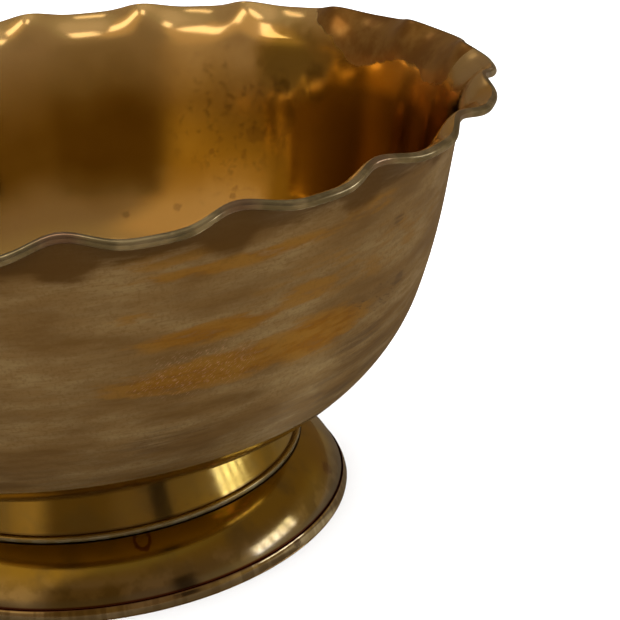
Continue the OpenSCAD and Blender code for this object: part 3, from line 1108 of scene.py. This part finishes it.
def turned_metal(name, colour, roughness, cloud_size):
    """Turned metal inside the foot that was never polished."""
    nodes = Nodes(name)
    cloud = nodes.blotches(cloud_size, seed=3.0)
    dull = tuple(channel * CLOUD_SHADE for channel in colour)
    tint = nodes.blend(nodes.step(cloud, 0.4, 0.7), colour, dull)
    lines = nodes.streaks(turns=20, height=0.6, seed=1.0, detail=2, falling=True)
    nodes.bump(lines, strength=0.2, depth=0.05)
    rough = nodes.step(cloud, 0.3, 0.7, roughness, roughness + CLOUD_ROUGHER)
    return nodes.finish(tint, rough)


def solder():
    """Dull grey soft solder with a frosty, lumpy skin and darker flux marks."""
    nodes = Nodes("solder")
    flux = nodes.step(nodes.blotches(3, seed=6.0), 0.55, 0.70)
    nodes.bump(nodes.blotches(1.2, seed=2.0), strength=0.4, depth=0.15)
    rough = nodes.step(flux, 0.0, 1.0, SOLDER_ROUGH, FLUX_ROUGH)
    return nodes.finish(nodes.blend(flux, SOLDER, FLUX), rough)


# ---- Stage: the lengths here are in metres ----

FLOOR_HALF = 20
FLOOR_ROUGH = 0.95
FLOOR_SEEN = (0.93, 0.93, 0.93)
FLOOR_REFLECTED = (0.115, 0.078, 0.037)
# A pool of the window's light painted on the floor, seen only in reflections: place and radius, in
# millimetres
FLOOR_GLOW = (-35, 0, 14, 10, 112)
FLOOR_GLOW_COLOUR = (0.32, 0.29, 0.23)
# The even white light on everything that isn't a mirror
DAYLIGHT = (2.4, 2.4, 2.4)
# Soft fields that polished metal sees round the bowl: azimuth, elevation, half width, half height
# and softness in degrees, and colour
SURROUNDINGS = (
    (-155, 38.5, 24, 24, 7, (0.43, 0.30, 0.15)),
    (-10, 6, 44, 14, 8, (0.21, 0.15, 0.07)),
    (-15, 10, 24, 6.5, 1.5, (0.27, 0.19, 0.08)),
    (-107, 14, 17, 20, 4, (0.11, 0.065, 0.02)),
    (-62, 14, 5, 12, 1.5, (0.03, 0.018, 0.01)),
)
# The rest of the room: the sine of the elevation, and the colour there
ROOM = (
    (0.0, (0.15, 0.095, 0.05)),
    (0.7, (0.15, 0.10, 0.055)),
    (0.87, (0.21, 0.17, 0.11)),
    (1.0, (0.42, 0.36, 0.30)),
)
# Lamps: azimuth, elevation, distance, width and height, radiance and colour
LAMPS = {
    "lamp": (-175, 53, 0.6, (0.18, 0.36), 1.65, (1, 0.90, 0.85)),
    "top_lamp": (-116, 78, 0.6, (0.12, 0.16), 1.65, (1, 0.90, 0.85)),
    "far_lamp": (93, 50, 0.6, (0.10, 0.06), 1.4, (1, 0.90, 0.75)),
}
# A window of upright panes, each described as a lamp is, and the azimuths of the panes
PANE = (11.0, 1.0, (0.062, 0.16), 3.0, (0.92, 0.97, 1.15))
FIRST_PANE = -26
PANE_SPACING = 5.4
PANES = 5
# The point that the lamps face
LIT_POINT = Vector((0, 0, 0.06))


def make_floor():
    corners = [(-1, -1), (1, -1), (1, 1), (-1, 1)]
    points = [(x * FLOOR_HALF, y * FLOOR_HALF, 0) for x, y in corners]
    mesh = bpy.data.meshes.new("floor")
    mesh.from_pydata(points, [], [(0, 1, 2, 3)])
    floor = new_object("floor", mesh)
    nodes = Nodes("floor")
    glossy = nodes.add("LightPath").outputs["Is Glossy Ray"]
    # The painted pool of window light, which only reflected rays see
    glow = nodes.spot(*FLOOR_GLOW, edge=0.3, ragged=0)
    reflected = nodes.blend(glow, FLOOR_REFLECTED, FLOOR_GLOW_COLOUR)
    colour = nodes.blend(glossy, FLOOR_SEEN, reflected)
    mesh.materials.append(nodes.finish(colour, FLOOR_ROUGH, 0.0))


def area_light(name, azimuth, elevation, distance, size, radiance, colour):
    """A soft rectangular light that shines on the bowl from a direction, and not on the floor."""
    a, e = radians(azimuth), radians(elevation)
    towards = Vector((cos(e) * cos(a), cos(e) * sin(a), sin(e)))
    data = bpy.data.lights.new(name, "AREA")
    data.shape = "RECTANGLE"
    data.size, data.size_y = size
    data.energy = radiance * pi * size[0] * size[1]
    data.color = colour
    light = new_object(name, data)
    light.location = LIT_POINT + towards * distance
    light.rotation_euler = (-towards).to_track_quat("-Z", "Y").to_euler()
    light.visible_diffuse = False
    light.visible_camera = False


def make_lights():
    for name, lamp in LAMPS.items():
        area_light(name, *lamp)
    for pane in range(PANES):
        area_light(f"window_{pane}", FIRST_PANE + PANE_SPACING * pane, *PANE)


class WorldNodes(Nodes):
    """The same node calls for the world, which has a direction where a material has a position."""

    def __init__(self, world):
        self.tree = world.node_tree
        self.direction = self.add("TexCoord").outputs["Generated"]

    def field(self, azimuth, elevation, half_width, half_height, soft):
        """1 inside a rectangle of the surroundings and 0 outside, going over within soft degrees."""
        turn = (0, radians(-elevation), radians(azimuth))
        inputs = {"Vector": self.direction, "Rotation": turn}
        turned_to = self.add("Mapping", inputs, vector_type="TEXTURE").outputs[0]
        ahead, side, up = self.add("SeparateXYZ", {0: turned_to}).outputs
        share = self.math("GREATER_THAN", ahead, 0)
        for part, half in ((side, half_width), (up, half_height)):
            outer = sin(radians(half + soft))
            inner = sin(radians(half - soft))
            inside = self.step(self.math("ABSOLUTE", part), outer, inner)
            share = self.times(share, inside)
        return share


def surroundings(nodes):
    """The colour that a reflected ray sees: a warm room, paler overhead, with a few soft fields."""
    height = nodes.add("SeparateXYZ", {0: nodes.direction}).outputs[2]
    colour = ROOM[0][1]
    for (low, _), (high, tone) in zip(ROOM, ROOM[1:]):
        colour = nodes.blend(nodes.step(height, low, high), colour, tone)
    for *where, tone in SURROUNDINGS:
        colour = nodes.blend(nodes.field(*where), colour, tone)
    return colour


def make_world():
    """Even daylight for matt surfaces, and the dim warm room for reflections in the brass."""
    world = bpy.data.worlds.new("world")
    bpy.context.scene.world = world
    world.use_nodes = True
    world.cycles.sampling_method = "NONE"
    nodes = WorldNodes(world)
    glossy = nodes.add("LightPath").outputs["Is Glossy Ray"]
    colour = nodes.blend(glossy, DAYLIGHT, surroundings(nodes))
    nodes.put(world.node_tree.nodes["Background"].inputs["Color"], colour)


# ---- The scene ----

# The solder fillets: corner as (radius, height), and how far each reaches across and up
BASE_FILLET = ((GROOVE_R - FOOT_SHEET, LEDGE_Z), -1.2, 0.6)
BOSS_FILLET = ((BOSS_R, FLOOR_Z), 1.5, -1.5)


def make_pieces():
    make_bowl(tarnished_brass(), polished_inside(), edge_brass())
    make_rim_wire(turned_metal("drawn_wire", *DRAWN_WIRE))
    make_collar(collar_brass())
    make_flare(flare_brass())
    make_base_ring(ring_brass())
    tin = solder()
    make_solder("base_fillet", "base_solder", *BASE_FILLET, tin)
    make_solder("boss_fillet", "boss_solder", *BOSS_FILLET, tin)
    make_boss(turned_metal("boss_brass", *BOSS_BRASS))
    make_stud(turned_metal("stud_brass", *STUD_BRASS))
    make_washer(turned_metal("washer_brass", *WASHER_BRASS))
    make_nut(turned_metal("nut_brass", *NUT_BRASS))


make_camera()
make_floor()
make_world()
make_lights()
make_pieces()
bpy.context.scene.view_settings.view_transform = "Standard"
